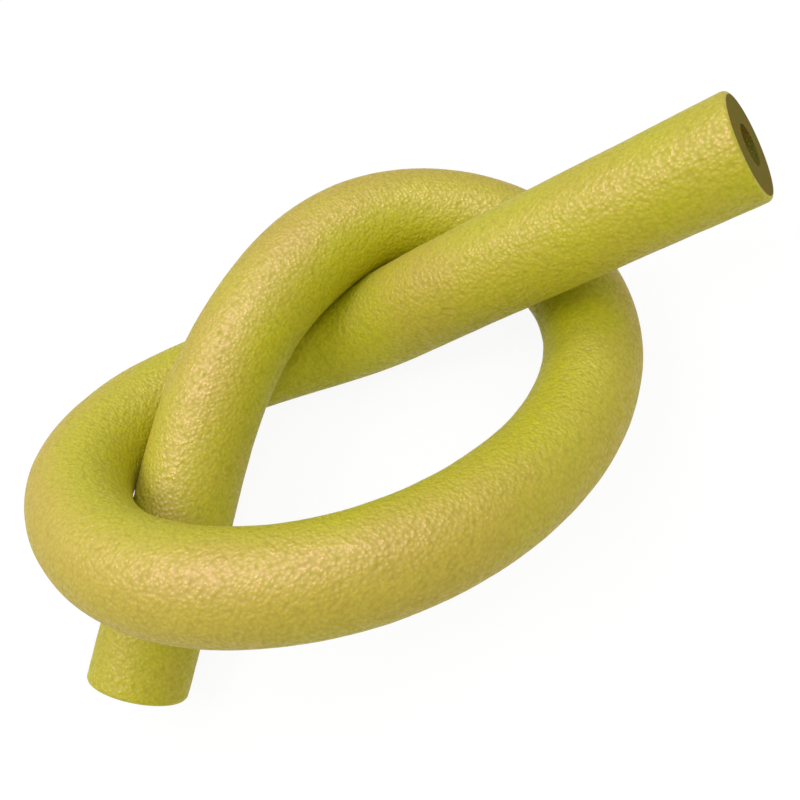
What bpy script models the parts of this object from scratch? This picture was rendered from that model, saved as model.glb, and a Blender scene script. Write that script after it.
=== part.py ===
# A foam pool noodle, tied in one loose overhand knot and lying on the floor.
# It is a single extrusion of closed-cell foam with a bore along its middle.
# Metres, +Z up. The origin is on the floor, under the middle of the knot's box.

import math

import bmesh
import bpy
import numpy as np
from mathutils import Vector

# Foam
NOODLE_DIAMETER = 0.065
WALL_THICKNESS = 0.020
RIM_ROUNDING = 0.003
LONG_TAIL_LENGTH = 0.141
SHORT_TAIL_LENGTH = 0.045
BORE_DIAMETER = NOODLE_DIAMETER - 2 * WALL_THICKNESS

# Flats where the foam bears on the floor
FLOOR_FLAT_DEPTH = 0.0007

# How far a cutter reaches past what it cuts
CUTTER_OVERRUN = 0.010

# Course of the knot between its two straight tails, in noodle diameters.
# Each point is a place to the right, to the back, and up from where the foam lies on the floor.
# The course bends smoothly past these points, which are chosen by hand so that the knot
# looks like the one in the photograph and stands on three places.
KNOT_ROUTE_SHARES = (
    (1.90, 0.20, 1.17),
    (0.89, 0.69, 0.71),
    (0.17, 1.30, -0.05),
    (-1.02, 1.68, 0.00),
    (-2.29, 1.65, 0.51),
    (-3.21, 0.80, 1.20),
    (-3.00, -0.55, 1.66),
    (-2.06, -1.52, 1.78),
    (-0.80, -1.96, 1.49),
    (0.38, -1.78, 0.89),
    (1.42, -1.22, 0.23),
    (2.31, -0.21, -0.10),
    (2.24, 1.17, 0.18),
    (1.16, 1.98, 0.68),
    (0.00, 1.81, 1.08),
    (-1.35, 1.05, 1.08),
    (-2.32, 0.20, 0.63),
    (-3.22, -0.53, 0.20),
)

# Two points of the course are strands that cross when they are this many diameters apart along it
CROSSING_SHARE = 3.0

# Fineness
SIDES = 28
STEPS_PER_SPAN = 6
RIM_STEPS = 3
BORE_SIDES = 12
BORE_STEPS_PER_SPAN = 4
MEASURE_STEPS_PER_SPAN = 24
SHARP_ANGLE = math.radians(40)


def clear_scene():
    for old in list(bpy.data.objects):
        bpy.data.objects.remove(old, do_unlink=True)


def foam_material():
    material = bpy.data.materials.new("foam")
    material.use_nodes = True
    shader = material.node_tree.nodes["Principled BSDF"]
    shader.inputs["Base Color"].default_value = (0.43, 0.35, 0.05, 1.0)
    shader.inputs["Roughness"].default_value = 0.55
    shader.inputs["Metallic"].default_value = 0.0
    return material


def knot_points():
    """The route's own points in metres, held at the height where the foam bears on its flats."""
    rest_height = NOODLE_DIAMETER / 2 - FLOOR_FLAT_DEPTH
    return [Vector(shares) * NOODLE_DIAMETER + Vector((0, 0, rest_height)) for shares in KNOT_ROUTE_SHARES]


def blend(before, start, end, after, share):
    """A point of a cubic B-spline span, at this share of the way from start to end."""
    rest = 1 - share
    start_weight = 3 * share**3 - 6 * share**2 + 4
    end_weight = 3 * rest**3 - 6 * rest**2 + 4
    return (before * rest**3 + start * start_weight + end * end_weight + after * share**3) / 6


def knot_course(steps_per_span):
    """Points along the knot, from where the long tail joins it to where the short tail does."""
    points = knot_points()
    before_first = 2 * points[0] - points[1]
    after_last = 2 * points[-1] - points[-2]
    guides = [before_first, *points, after_last]
    course = []
    for span in range(len(points) - 1):
        for step in range(steps_per_span):
            course.append(blend(*guides[span:span + 4], step / steps_per_span))
    course.append(points[-1])
    return course


def tail_directions():
    """Which way each tail leaves the knot: on along the first and the last leg of its route."""
    points = knot_points()
    return (points[0] - points[1]).normalized(), (points[-1] - points[-2]).normalized()


def whole_course(steps_per_span):
    """The middle of the foam from the long tail's cut end to the short tail's."""
    course = knot_course(steps_per_span)
    long_way, short_way = tail_directions()
    long_end = course[0] + long_way * LONG_TAIL_LENGTH
    short_end = course[-1] + short_way * SHORT_TAIL_LENGTH
    return [long_end, *course, short_end]


def stations_of(course, radius):
    """One ring for each point of a course: its middle, the way along and its radius."""
    stations = []
    for index, middle in enumerate(course):
        before = course[max(index - 1, 0)]
        after = course[min(index + 1, len(course) - 1)]
        stations.append((middle, (after - before).normalized(), radius))
    return stations


def rim_stations(end, outward):
    """The rounded rim at a cut end, from the flat of the cut to the full radius."""
    stations = []
    for step in range(RIM_STEPS + 1):
        turn = math.pi / 2 * (1 - step / RIM_STEPS)
        radius = NOODLE_DIAMETER / 2 - RIM_ROUNDING * (1 - math.cos(turn))
        inset = RIM_ROUNDING * (1 - math.sin(turn))
        stations.append((end - outward * inset, outward, radius))
    return stations


def loft(name, stations, sides):
    """A closed tube through rings that turn with the course and never twist about it."""
    mesh = bmesh.new()
    rings = []
    way = stations[0][1]
    side = way.orthogonal().normalized()
    for middle, next_way, radius in stations:
        side = way.rotation_difference(next_way) @ side
        way = next_way
        lift = way.cross(side)
        ring = []
        for corner in range(sides):
            turn = 2 * math.pi * corner / sides
            ring.append(mesh.verts.new(middle + (side * math.cos(turn) + lift * math.sin(turn)) * radius))
        rings.append(ring)
    for ring, next_ring in zip(rings, rings[1:]):
        for corner in range(sides):
            beside = (corner + 1) % sides
            mesh.faces.new((ring[corner], ring[beside], next_ring[beside], next_ring[corner]))
    mesh.faces.new(rings[0])
    mesh.faces.new(rings[-1])
    bmesh.ops.recalc_face_normals(mesh, faces=mesh.faces)
    data = bpy.data.meshes.new(name)
    mesh.to_mesh(data)
    mesh.free()
    return data


def place(name, data):
    placed = bpy.data.objects.new(name, data)
    bpy.context.scene.collection.objects.link(placed)
    return placed


def as_cutter(cutter):
    cutter.hide_render = True
    cutter.display_type = "WIRE"
    return cutter


def noodle_outside():
    """The foam without its bore: two rounded rims, with the whole knot between them."""
    course = whole_course(STEPS_PER_SPAN)
    long_way, short_way = tail_directions()
    long_rim = [(middle, -way, radius) for middle, way, radius in rim_stations(course[0], long_way)]
    short_rim = list(reversed(rim_stations(course[-1], short_way)))
    between = stations_of(course, NOODLE_DIAMETER / 2)[1:-1]
    between[0] = (course[1], -long_way, NOODLE_DIAMETER / 2)
    between[-1] = (course[-2], short_way, NOODLE_DIAMETER / 2)
    return loft("foam_noodle", [*long_rim, *between, *short_rim], SIDES)


def bore_cutter():
    """A plainer tube along the same course, which runs out past both cut ends."""
    course = whole_course(BORE_STEPS_PER_SPAN)
    long_way, short_way = tail_directions()
    course[0] = course[0] + long_way * CUTTER_OVERRUN
    course[-1] = course[-1] + short_way * CUTTER_OVERRUN
    stations = stations_of(course, BORE_DIAMETER / 2)
    stations[1] = (course[1], -long_way, BORE_DIAMETER / 2)
    stations[-2] = (course[-2], short_way, BORE_DIAMETER / 2)
    return as_cutter(place("bore_cutter", loft("bore_cutter", stations, BORE_SIDES)))


def floor_cutter(low, high):
    """A block whose top is the floor. It takes the flats off the foam's lowest places."""
    mesh = bmesh.new()
    corners = []
    for across in (low[0] - CUTTER_OVERRUN, high[0] + CUTTER_OVERRUN):
        for back in (low[1] - CUTTER_OVERRUN, high[1] + CUTTER_OVERRUN):
            for up in (low[2] - CUTTER_OVERRUN, 0):
                corners.append(mesh.verts.new((across, back, up)))
    bmesh.ops.convex_hull(mesh, input=corners)
    data = bpy.data.meshes.new("floor_cutter")
    mesh.to_mesh(data)
    mesh.free()
    return as_cutter(place("floor_cutter", data))


def cut(target, cutter):
    difference = target.modifiers.new(cutter.name, "BOOLEAN")
    difference.operation = "DIFFERENCE"
    difference.solver = "EXACT"
    difference.object = cutter


def report_course():
    """Print the noodle's length and the least gap between strands that cross."""
    course = np.array(whole_course(MEASURE_STEPS_PER_SPAN))
    along = np.concatenate(([0], np.cumsum(np.linalg.norm(np.diff(course, axis=0), axis=1))))
    apart = np.linalg.norm(course[:, None] - course[None], axis=2)
    crossing = np.abs(along[:, None] - along[None]) > CROSSING_SHARE * NOODLE_DIAMETER
    gap = apart[crossing].min() - NOODLE_DIAMETER
    print(f"noodle length {along[-1] * 1000:.0f} mm, least gap to itself {gap * 1000:.2f} mm")


def build_noodle():
    data = noodle_outside()
    data.materials.append(foam_material())
    corners = np.array([vertex.co for vertex in data.vertices])
    low = corners.min(axis=0)
    high = corners.max(axis=0)
    noodle = place("foam_noodle", data)
    cutters = [bore_cutter(), floor_cutter(low, high)]
    middle = (low + high) / 2
    for piece in (noodle, *cutters):
        piece.location = (-middle[0], -middle[1], 0)
    for cutter in cutters:
        cut(noodle, cutter)
    data.shade_smooth()
    data.set_sharp_from_angle(angle=SHARP_ANGLE)
    return noodle


clear_scene()
build_noodle()
report_course()
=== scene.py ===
import math

import bpy
from mathutils import Matrix, Vector
from mathutils.kdtree import KDTree


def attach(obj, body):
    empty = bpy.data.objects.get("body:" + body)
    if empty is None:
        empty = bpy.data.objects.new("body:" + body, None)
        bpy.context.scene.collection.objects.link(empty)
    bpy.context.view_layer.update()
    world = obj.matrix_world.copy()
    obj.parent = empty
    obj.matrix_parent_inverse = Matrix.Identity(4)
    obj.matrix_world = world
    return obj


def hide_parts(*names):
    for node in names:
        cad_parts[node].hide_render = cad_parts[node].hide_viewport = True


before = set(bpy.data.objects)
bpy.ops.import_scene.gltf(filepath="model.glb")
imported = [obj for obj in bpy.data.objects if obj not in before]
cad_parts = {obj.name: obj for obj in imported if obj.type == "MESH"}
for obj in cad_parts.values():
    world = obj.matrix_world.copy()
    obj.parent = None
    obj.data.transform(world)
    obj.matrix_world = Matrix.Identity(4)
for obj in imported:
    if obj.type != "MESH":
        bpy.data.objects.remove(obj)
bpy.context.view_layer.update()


# camera, where the photographer stood

cameraSettings = {
    "place": (0.00596, -0.34527, 0.62112),  # metres, in the noodle's own frame
    "tilt": 31.558,  # degrees up from looking straight down
    "roll": -32.218,
    "lens": 45.0,  # millimetres
    "sensor": 36.0,
    "near": 0.01,
    "far": 50.0,
}


def addCamera(settings):
    data = bpy.data.cameras.new("photoCamera")
    data.sensor_width = settings["sensor"]
    data.lens = settings["lens"]
    data.clip_start = settings["near"]
    data.clip_end = settings["far"]
    camera = bpy.data.objects.new("photoCamera", data)
    bpy.context.scene.collection.objects.link(camera)
    tilt = Matrix.Rotation(math.radians(settings["tilt"]), 4, "X")
    roll = Matrix.Rotation(math.radians(settings["roll"]), 4, "Z")
    camera.matrix_world = Matrix.Translation(settings["place"]) @ tilt @ roll
    bpy.context.scene.camera = camera


addCamera(cameraSettings)
print("camera placed")


# node trees written as sums

class Wire:  # one output socket
    def __init__(self, web, socket):
        self.web = web
        self.socket = socket

    def also(self, name):  # another output of the same node
        return Wire(self.web, self.socket.node.outputs[name])

    def maths(self, operation, left, right):
        return self.web.add("ShaderNodeMath", {"operation": operation}, {0: left, 1: right})

    def __add__(self, other):
        return self.maths("ADD", self, other)

    def __radd__(self, other):
        return self.maths("ADD", other, self)

    def __sub__(self, other):
        return self.maths("SUBTRACT", self, other)

    def __rsub__(self, other):
        return self.maths("SUBTRACT", other, self)

    def __mul__(self, other):
        return self.maths("MULTIPLY", self, other)

    def __rmul__(self, other):
        return self.maths("MULTIPLY", other, self)

    def __gt__(self, other):
        return self.maths("GREATER_THAN", self, other)

    def __lt__(self, other):
        return self.maths("LESS_THAN", self, other)


class Web:  # a node tree that is being filled
    def __init__(self, tree):
        self.tree = tree

    def shown(self, sockets):
        return [one for one in sockets if one.enabled]

    def socket(self, sockets, key):
        if isinstance(key, int):
            return self.shown(sockets)[key]
        return next(one for one in self.shown(sockets) if key in (one.name, one.identifier))

    def add(self, kind, settings=None, inputs=None):
        node = self.tree.nodes.new(kind)
        for name, value in (settings or {}).items():
            setattr(node, name, value)
        for key, value in (inputs or {}).items():
            socket = self.socket(node.inputs, key)
            if isinstance(value, Wire):
                self.tree.links.new(value.socket, socket)
            else:
                socket.default_value = value
        outputs = self.shown(node.outputs)
        return Wire(self, outputs[0]) if outputs else node

    def vector(self, operation, left, right):
        return self.add("ShaderNodeVectorMath", {"operation": operation}, {0: left, 1: right})

    def stretched(self, direction, amount):
        return self.add("ShaderNodeVectorMath", {"operation": "SCALE"}, {0: direction, "Scale": amount})

    def unit(self, direction):
        return self.add("ShaderNodeVectorMath", {"operation": "NORMALIZE"}, {0: direction})

    def size(self, direction):
        node = self.add("ShaderNodeVectorMath", {"operation": "LENGTH"}, {0: direction})
        return node.also("Value")

    def dot(self, left, right):
        return self.vector("DOT_PRODUCT", left, right).also("Value")


# the noodle's shape

noodle = {
    "diameter": 0.065,
    "wall": 0.020,
    "rimRounding": 0.003,
    "longTail": 0.141,
    "shortTail": 0.045,
    "stepsPerSpan": 24,
    "crossing": 3.0,  # diameters along the noodle, past which another stretch may press on it
    "skinGap": 0.0001,  # left between stretches that press on each other, on each side
    "sides": 104,  # faces round the foam
    "rings": 790,  # rings along its outside
    "rimRings": 7,
    "endRings": 5,
    "boreRings": 90,
    "dents": 30.0,  # soft unevenness, per metre
    "dentDepth": 0.0005,
    "wrinkles": 140.0,  # the coarsest wrinkles of the skin, per metre
    "wrinkleDepth": 0.0001,
    "wrinkleStretch": (1.0, 1.0, 1.5),  # they run round the foam rather than along it
    "seed": 4.0,
    "touch": 0.00001,  # how near to a cut or to the bore's wall counts as on it
    "lowest": (-10.0, -10.0, 0.0),  # as far as the foam may go to the left, front and down: the floor
    "sharpAngle": 50.0,  # degrees
}

knotRoute = (  # where the middle of the foam bends round, in metres: right, back, up
    (0.1261, 0.0129, 0.1078),
    (0.0605, 0.0447, 0.0779),
    (0.0137, 0.0844, 0.0286),
    (-0.0637, 0.1091, 0.0318),
    (-0.1462, 0.1071, 0.0649),
    (-0.2060, 0.0519, 0.1098),
    (-0.1924, -0.0359, 0.1397),
    (-0.1313, -0.0989, 0.1475),
    (-0.0494, -0.1275, 0.1287),
    (0.0273, -0.1158, 0.0897),
    (0.0949, -0.0794, 0.0468),
    (0.1528, -0.0138, 0.0253),
    (0.1482, 0.0759, 0.0435),
    (0.0780, 0.1286, 0.0760),
    (0.0026, 0.1175, 0.1020),
    (-0.0851, 0.0681, 0.1020),
    (-0.1482, 0.0129, 0.0727),
    (-0.2067, -0.0346, 0.0448),
)

foamSwells = (  # how much thicker the soft foam is, as a share, at these places along it in metres
    (0.00, 0.020),
    (0.20, 0.022),
    (0.30, 0.032),
    (0.37, 0.012),
    (0.45, 0.000),
    (0.62, -0.005),
    (0.68, 0.015),
    (0.75, 0.000),
    (1.22, 0.000),
    (1.30, 0.028),
    (1.36, 0.008),
    (1.44, 0.026),
    (1.62, 0.020),
)


def blend(before, start, end, after, share):
    rest = 1 - share
    startWeight = 3 * share**3 - 6 * share**2 + 4
    endWeight = 3 * rest**3 - 6 * rest**2 + 4
    return (before * rest**3 + start * startWeight + end * endWeight + after * share**3) / 6


def foamCourse(sizes):
    points = [Vector(place) for place in knotRoute]
    guides = [2 * points[0] - points[1], *points, 2 * points[-1] - points[-2]]
    steps = sizes["stepsPerSpan"]
    course = []
    for span in range(len(points) - 1):
        course += [blend(*guides[span:span + 4], step / steps) for step in range(steps)]
    course.append(points[-1])
    longWay = (points[0] - points[1]).normalized()
    shortWay = (points[-1] - points[-2]).normalized()
    longEnd = course[0] + longWay * sizes["longTail"]
    shortEnd = course[-1] + shortWay * sizes["shortTail"]
    return [longEnd, *course, shortEnd]


def swellAt(distance):
    for (start, startSwell), (end, endSwell) in zip(foamSwells, foamSwells[1:]):
        if distance < end:
            share = (distance - start) / (end - start)
            return startSwell + (endSwell - startSwell) * share * share * (3 - 2 * share)
    return foamSwells[-1][1]


def courseObject(sizes):
    course = foamCourse(sizes)
    distances = [0.0]
    for before, after in zip(course, course[1:]):
        distances.append(distances[-1] + (after - before).length)
    places = KDTree(len(course))
    for index, place in enumerate(course):
        places.insert(place, index)
    places.balance()
    apart = sizes["crossing"] * sizes["diameter"]
    halfways = []  # from the middle of the foam to where the nearest other stretch presses on it
    for place, distance in zip(course, distances):
        other = places.find(place, filter=lambda index: abs(distances[index] - distance) > apart)[0]
        halfways.append((other - place) / 2)
    bends = [Vector()]  # towards the outside of each bend, as long as one over its radius
    for before, here, after in zip(course, course[1:], course[2:]):
        turn = (here - before).normalized() - (after - here).normalized()
        bends.append(turn * 2 / (after - before).length)
    bends.append(Vector())
    mesh = bpy.data.meshes.new("foamCourse")
    mesh.from_pydata(course, [(index, index + 1) for index in range(len(course) - 1)], [])
    swell = mesh.attributes.new("swell", "FLOAT", "POINT")
    swell.data.foreach_set("value", [swellAt(distance) for distance in distances])
    for name, ways in (("halfway", halfways), ("bend", bends)):
        attribute = mesh.attributes.new(name, "FLOAT_VECTOR", "POINT")
        attribute.data.foreach_set("vector", [part for way in ways for part in way])
    course = bpy.data.objects.new("foamCourse", mesh)
    bpy.context.scene.collection.objects.link(course)
    return course


def noodleTree():
    tree = bpy.data.node_groups.new("bendNoodle", "GeometryNodeTree")
    face = tree.interface
    face.new_socket(name="Course", in_out="INPUT", socket_type="NodeSocketGeometry")
    kinds = {
        "Float": ("Diameter", "Wall", "Rim Rounding", "Skin Gap", "Touch",
                  "Dents", "Dent Depth", "Wrinkles", "Wrinkle Depth", "Seed"),
        "Vector": ("Wrinkle Stretch", "Lowest"),
        "Int": ("Sides", "Rings", "Rim Rings", "End Rings", "Bore Rings"),
        "Material": ("Foam",),
    }
    for kind, names in kinds.items():
        for name in names:
            face.new_socket(name=name, in_out="INPUT", socket_type="NodeSocket" + kind)
    face.new_socket(name="Noodle", in_out="OUTPUT", socket_type="NodeSocketGeometry")
    web = Web(tree)
    given = web.add("NodeGroupInput")
    course = web.add("GeometryNodeMeshToCurve", None, {"Mesh": given.also("Course")})
    radius = given.also("Diameter") * 0.5
    bore = radius - given.also("Wall")
    length = web.add("GeometryNodeCurveLength", None, {"Curve": course})

    # half of the straight noodle's section: x from the bore outwards, y along the foam
    def corner(across, along):
        return web.add("ShaderNodeCombineXYZ", None, {"X": across, "Y": along})

    section = web.add("GeometryNodeCurvePrimitiveQuadrilateral", {"mode": "POINTS"}, {
        "Point 1": corner(0.0, 0.0),
        "Point 2": corner(given.also("Wall"), 0.0),
        "Point 3": corner(given.also("Wall"), length),
        "Point 4": corner(0.0, length),
    })
    across = web.add("ShaderNodeSeparateXYZ", None, {"Vector": web.add("GeometryNodeInputPosition")})
    outer = across > given.also("Wall") * 0.5
    section = web.add("GeometryNodeFilletCurve", {"mode": "POLY"}, {
        "Curve": section,
        "Radius": outer * given.also("Rim Rounding"),
        "Count": outer * given.also("Rim Rings"),
        "Limit Radius": False,
    })
    index = web.add("GeometryNodeInputIndex")

    def cutsAfter(point, cuts):  # more rings in the stretch of the section that starts at this point
        here = web.add("ShaderNodeMath", {"operation": "COMPARE"}, {0: index, 1: point, 2: 0.5})
        return here * cuts

    rimRings = given.also("Rim Rings")
    cuts = (
        cutsAfter(0.0, given.also("End Rings"))
        + cutsAfter(rimRings + 1.0, given.also("Rings"))
        + cutsAfter(rimRings * 2.0 + 2.0, given.also("End Rings"))
        + cutsAfter(rimRings * 2.0 + 3.0, given.also("Bore Rings"))
    )
    section = web.add("GeometryNodeSubdivideCurve", None, {"Curve": section, "Cuts": cuts})
    turn = web.add("GeometryNodeCurvePrimitiveCircle", {"mode": "RADIUS"}, {
        "Resolution": given.also("Sides"),
        "Radius": bore,
    })
    inward = web.add("GeometryNodeCurveToMesh", None, {"Curve": turn, "Profile Curve": section})
    straight = web.add("GeometryNodeFlipFaces", None, {"Mesh": inward})

    # the uneven skin, still on the straight noodle
    place = web.add("GeometryNodeInputPosition")
    parts = web.add("ShaderNodeSeparateXYZ", None, {"Vector": place})
    along = 0.0 - parts.also("Z")
    outward = web.vector("MULTIPLY", place, (1.0, 1.0, 0.0))
    fromMiddle = web.size(outward)
    skin = web.add("ShaderNodeMapRange", {"interpolation_type": "SMOOTHSTEP"}, {
        "Value": fromMiddle,
        "From Min": radius - given.also("Rim Rounding"),
        "From Max": radius,
    })

    def unevenness(pattern, scale):
        noise = web.add("ShaderNodeTexNoise", {"noise_dimensions": "4D"}, {
            "Vector": pattern,
            "W": given.also("Seed"),
            "Scale": scale,
            "Detail": 1.0,
        })
        return (noise - 0.5) * 2.0

    wrinkled = web.vector("MULTIPLY", place, given.also("Wrinkle Stretch"))
    dents = unevenness(place, given.also("Dents")) * given.also("Dent Depth")
    wrinkles = unevenness(wrinkled, given.also("Wrinkles")) * given.also("Wrinkle Depth")
    lift = web.stretched(web.unit(outward), (dents + wrinkles) * skin)
    uneven = web.add("GeometryNodeSetPosition", None, {"Geometry": straight, "Offset": lift})

    def kept(geometry, kind, name, value):
        return web.add("GeometryNodeStoreNamedAttribute", {"data_type": kind, "domain": "POINT"}, {
            "Geometry": geometry,
            "Name": name,
            "Value": value,
        })

    touch = given.also("Touch")
    atEnd = (along < touch) + (along > length - touch)
    uneven = kept(uneven, "FLOAT_VECTOR", "straightPlace", place)
    uneven = kept(uneven, "FLOAT", "cutFace", atEnd)
    uneven = kept(uneven, "FLOAT", "boreWall", fromMiddle < bore + touch)

    # bend it along its course, thicker in places
    def sampled(kind, name):
        value = web.add("GeometryNodeInputNamedAttribute", {"data_type": kind}, {"Name": name})
        settings = {"data_type": kind, "mode": "LENGTH", "use_all_curves": True}
        return web.add("GeometryNodeSampleCurve", settings, {
            "Curves": course,
            "Value": value,
            "Length": along,
        })

    halfway = sampled("FLOAT_VECTOR", "halfway")
    thickness = 1.0 + sampled("FLOAT", "swell")
    middle = halfway.also("Position")
    normal = halfway.also("Normal")
    beside = web.vector("CROSS_PRODUCT", halfway.also("Tangent"), normal)
    right = web.stretched(normal, parts.also("X"))
    up = web.stretched(beside, parts.also("Y"))
    sideways = web.vector("ADD", right, up)
    reach = web.stretched(sideways, thickness)
    # how far out on a bend the skin lies, kept for the painted light on the outsides of bends and the
    # painted shade on their insides
    bendShade = web.dot(sideways, sampled("FLOAT_VECTOR", "bend"))
    uneven = kept(uneven, "FLOAT", "bendShade", bendShade)

    # flat where another stretch presses on it, and where it lies on the floor
    towards = web.unit(halfway)
    tooFar = web.dot(reach, towards) - (web.size(halfway) - given.also("Skin Gap"))
    pressed = web.add("ShaderNodeMath", {"operation": "MAXIMUM"}, {0: tooFar, 1: 0.0})
    reach = web.vector("SUBTRACT", reach, web.stretched(towards, pressed))
    resting = web.vector("MAXIMUM", web.vector("ADD", middle, reach), given.also("Lowest"))
    lying = web.add("GeometryNodeSetPosition", None, {"Geometry": uneven, "Position": resting})
    smooth = web.add("GeometryNodeSetShadeSmooth", None, {"Geometry": lying})
    whole = web.add("GeometryNodeRealizeInstances", None, {"Geometry": smooth})
    painted = web.add("GeometryNodeSetMaterial", None, {
        "Geometry": whole,
        "Material": given.also("Foam"),
    })
    web.add("NodeGroupOutput", None, {"Noodle": painted})
    return tree


# the foam

foam = {
    "green": (0.375, 0.362, 0.002, 1.0),
    "tan": (0.370, 0.300, 0.024, 1.0),
    "cutShadeBrown": (0.150, 0.100, 0.010, 1.0),  # open cells where the foam was cut, darkened further with painted shade
    "cutShadeOlive": (0.120, 0.108, 0.012, 1.0),
    # the bore's colour is darker than the skin, as painted shade in the hole
    "bore": (0.300, 0.255, 0.020, 1.0),
    "patches": 22.0,  # these five per metre
    "mottle": 75.0,
    "grain": 225.0,
    "pebbles": 420.0,
    "cells": 700.0,
    "patchDetail": 2.0,
    "grainDetail": 1.5,
    "mottleDetail": 1.0,
    "pebbleSoftness": 0.35,
    "bendShade": 2.0,  # how much the colour turns tan on the outsides of bends and green on their insides: painted light and painted shade
    "tintShares": (0.4, 0.6),  # how much the grain and the patches do
    "tintRange": (0.38, 0.85),  # from all green to all tan
    "mottleRange": (0.42, 0.58),
    "flecks": 0.26,  # how much lighter and darker the skin's flecks are
    "bumpShares": (0.6, 0.4),  # how much of the skin's relief is grain, and how much pebbles
    "grainDepth": 0.0013,
    "cellDepth": 0.0004,
    "gloss": (1.0, 0.43, 0.74, 1.0),
    "specular": 0.36,
    "roughness": 0.58,
    "sparkle": 0.4,  # how much shinier the lighter flecks are
    "cutRoughness": 1.0,
    "cutSpecular": 0.05,
}


def foamMaterial(look):
    material = bpy.data.materials.new("foam")
    material.use_nodes = True
    material.node_tree.nodes.clear()
    web = Web(material.node_tree)

    def attribute(name):
        return web.add("ShaderNodeAttribute", {"attribute_type": "GEOMETRY", "attribute_name": name})

    place = web.add("ShaderNodeTexCoord").also("Object")
    alongFoam = attribute("straightPlace").also("Vector")  # as if the noodle had not been bent
    cut = attribute("cutFace").also("Fac")
    bore = attribute("boreWall").also("Fac")
    bendShade = attribute("bendShade").also("Fac")

    def noise(pattern, name, detailName):
        return web.add("ShaderNodeTexNoise", None, {
            "Vector": pattern,
            "Scale": look[name],
            "Detail": look[detailName],
        })

    def ranged(value, span):
        low, high = span
        return web.add("ShaderNodeMapRange", None, {"Value": value, "From Min": low, "From Max": high})

    def mixed(share, first, second):
        return web.add("ShaderNodeMix", {"data_type": "RGBA"}, {
            "Factor": share,
            "A": first,
            "B": second,
        })

    def weighed(first, second, shares):
        return first * shares[0] + second * shares[1]

    # the skin: soft pebbles with a fine grain, green turning to tan at random, with painted light
    # turning the outsides of bends tan and painted shade keeping their insides green
    patches = noise(alongFoam, "patches", "patchDetail")
    mottle = noise(place, "mottle", "mottleDetail")
    grain = noise(place, "grain", "grainDetail")
    hollows = web.add("ShaderNodeTexVoronoi", {"feature": "SMOOTH_F1"}, {
        "Vector": place,
        "Scale": look["pebbles"],
        "Smoothness": look["pebbleSoftness"],
    })
    pebbles = 1.0 - hollows
    blotches = weighed(grain, patches, look["tintShares"])
    # painted light and shade: tan on the outsides of bends, green on their insides, on top of the
    # random blotches
    tint = ranged(blotches + bendShade * look["bendShade"], look["tintRange"])
    plain = mixed(tint, look["green"], look["tan"])
    skin = web.add("ShaderNodeBsdfPrincipled", None, {
        "Base Color": web.stretched(plain, 1.0 + (grain + pebbles - 1.0) * look["flecks"]),
        "Roughness": look["roughness"] + (1.0 - grain - pebbles) * look["sparkle"],
        "Specular IOR Level": look["specular"],
        "Specular Tint": look["gloss"],
        "Normal": web.add("ShaderNodeBump", None, {
            "Height": weighed(grain, pebbles, look["bumpShares"]),
            "Distance": look["grainDepth"],
        }),
    })

    # the cut faces and the bore: duller, with open cells, and darker with painted shade
    cells = web.add("ShaderNodeTexVoronoi", None, {"Vector": alongFoam, "Scale": look["cells"]})
    # where the bore's wall takes its darker colour, painted shade in the hole
    inBore = bore * (1.0 - cut)
    # the cut foam's own brown and olive mottle, darkened as painted shade
    cutShadeColour = mixed(ranged(mottle, look["mottleRange"]), look["cutShadeBrown"], look["cutShadeOlive"])
    inside = web.add("ShaderNodeBsdfPrincipled", None, {
        "Base Color": mixed(inBore, cutShadeColour, look["bore"]),
        "Roughness": look["cutRoughness"],
        "Specular IOR Level": look["cutSpecular"],
        "Normal": web.add("ShaderNodeBump", None, {"Height": cells, "Distance": look["cellDepth"]}),
    })
    surface = web.add("ShaderNodeMixShader", None, {0: cut + inBore, 1: skin, 2: inside})
    web.add("ShaderNodeOutputMaterial", None, {"Surface": surface})
    return material


def makeNoodle(sizes, material):
    course = courseObject(sizes)
    tree = noodleTree()
    modifier = course.modifiers.new("bendNoodle", "NODES")
    modifier.node_group = tree
    wanted = {
        "Diameter": sizes["diameter"],
        "Wall": sizes["wall"],
        "Rim Rounding": sizes["rimRounding"],
        "Skin Gap": sizes["skinGap"],
        "Touch": sizes["touch"],
        "Lowest": sizes["lowest"],
        "Dents": sizes["dents"],
        "Dent Depth": sizes["dentDepth"],
        "Wrinkles": sizes["wrinkles"],
        "Wrinkle Depth": sizes["wrinkleDepth"],
        "Wrinkle Stretch": sizes["wrinkleStretch"],
        "Seed": sizes["seed"],
        "Sides": sizes["sides"],
        "Rings": sizes["rings"],
        "Rim Rings": sizes["rimRings"],
        "End Rings": sizes["endRings"],
        "Bore Rings": sizes["boreRings"],
        "Foam": material,
    }
    for item in tree.interface.items_tree:
        if item.in_out == "INPUT" and item.name in wanted:
            modifier[item.identifier] = wanted[item.name]
    evaluated = course.evaluated_get(bpy.context.evaluated_depsgraph_get())
    mesh = bpy.data.meshes.new_from_object(evaluated)
    mesh.name = "foamNoodle"
    mesh.set_sharp_from_angle(angle=math.radians(sizes["sharpAngle"]))
    course.modifiers.remove(modifier)
    bpy.data.objects.remove(course)
    piece = bpy.data.objects.new("foamNoodle", mesh)
    bpy.context.scene.collection.objects.link(piece)
    return piece


foamNoodle = makeNoodle(noodle, foamMaterial(foam))
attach(foamNoodle, "root")
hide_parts("foam_noodle")
print("noodle made:", len(foamNoodle.data.polygons), "faces")


# studio

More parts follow.
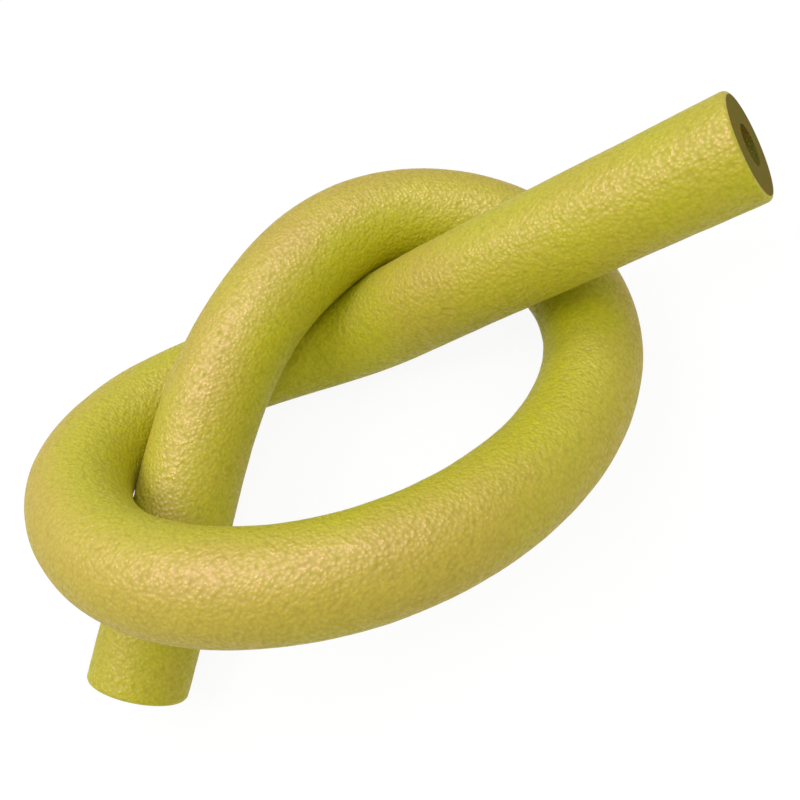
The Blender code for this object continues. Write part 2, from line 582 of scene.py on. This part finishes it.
studio = {
    "floorSize": 8.0,
    "floorLevel": -0.0001,  # just under the foam's flats
    "floorColour": (0.90, 0.90, 0.90, 1.0),
    "floorWhite": 0.92,  # how much of the floor that the camera sees is plain white
    "white": (1.0, 1.0, 1.0, 1.0),
    "ambient": 0.64,
    "softboxes": {  # where each one hangs, its width and depth, and its watts
        "left": ((-0.80, 0.00, 1.43), (0.7, 0.7), 10.6),
        "right": ((1.50, 0.00, 2.68), (1.3, 1.3), 17.0),
        "back": ((-1.06, 1.84, 2.20), (1.3, 1.3), 14.0),
        "front": ((0.75, -1.30, 2.68), (1.3, 1.3), 19.0),
    },
    "shine": ((0.00, 0.55, 2.97), (4.0, 1.3), 430.0),  # one more, seen in the foam's shine alone
}


def seenRays(web):  # one for what the camera sees, also in and through a shiny thing
    path = web.add("ShaderNodeLightPath")
    rays = path.also("Is Camera Ray") + path.also("Is Glossy Ray") + path.also("Is Transmission Ray")
    return web.add("ShaderNodeClamp", None, {"Value": rays})


def studioFloor(look):
    half = look["floorSize"] / 2
    level = look["floorLevel"]
    corners = [(-half, -half, level), (half, -half, level), (half, half, level), (-half, half, level)]
    mesh = bpy.data.meshes.new("studioFloor")
    mesh.from_pydata(corners, [], [(0, 1, 2, 3)])
    floor = bpy.data.objects.new("studioFloor", mesh)
    bpy.context.scene.collection.objects.link(floor)
    material = bpy.data.materials.new("studioFloor")
    material.use_nodes = True
    tree = material.node_tree
    tree.nodes.clear()
    web = Web(tree)
    pale = web.add("ShaderNodeBsdfDiffuse", None, {"Color": look["floorColour"]})
    white = web.add("ShaderNodeEmission", None, {"Color": look["white"], "Strength": 1.0})
    seen = seenRays(web) * look["floorWhite"]
    surface = web.add("ShaderNodeMixShader", None, {0: seen, 1: pale, 2: white})
    web.add("ShaderNodeOutputMaterial", None, {"Surface": surface})
    mesh.materials.append(material)


def addSoftbox(name, place, size, watts):
    data = bpy.data.lights.new(name, "AREA")
    data.shape = "RECTANGLE"
    data.size, data.size_y = size
    data.energy = watts
    light = bpy.data.objects.new(name, data)
    bpy.context.scene.collection.objects.link(light)
    light.location = place
    light.rotation_euler = (-Vector(place)).to_track_quat("-Z", "Y").to_euler()
    return light


def studioLights(look):
    for side, (place, size, watts) in look["softboxes"].items():
        addSoftbox(side + "Softbox", place, size, watts)
    addSoftbox("shineSoftbox", *look["shine"]).visible_diffuse = False


def studioWorld(look):
    world = bpy.data.worlds.new("studio")
    bpy.context.scene.world = world
    world.use_nodes = True
    tree = world.node_tree
    tree.nodes.clear()
    web = Web(tree)
    strength = web.add("ShaderNodeMix", {"data_type": "FLOAT"}, {
        "Factor": seenRays(web),
        "A": look["ambient"],
        "B": 1.0,
    })
    shell = web.add("ShaderNodeBackground", None, {"Color": look["white"], "Strength": strength})
    web.add("ShaderNodeOutputWorld", None, {"Surface": shell})


studioFloor(studio)
studioLights(studio)
studioWorld(studio)
bpy.context.scene.view_settings.view_transform = "Standard"
print("studio lit")
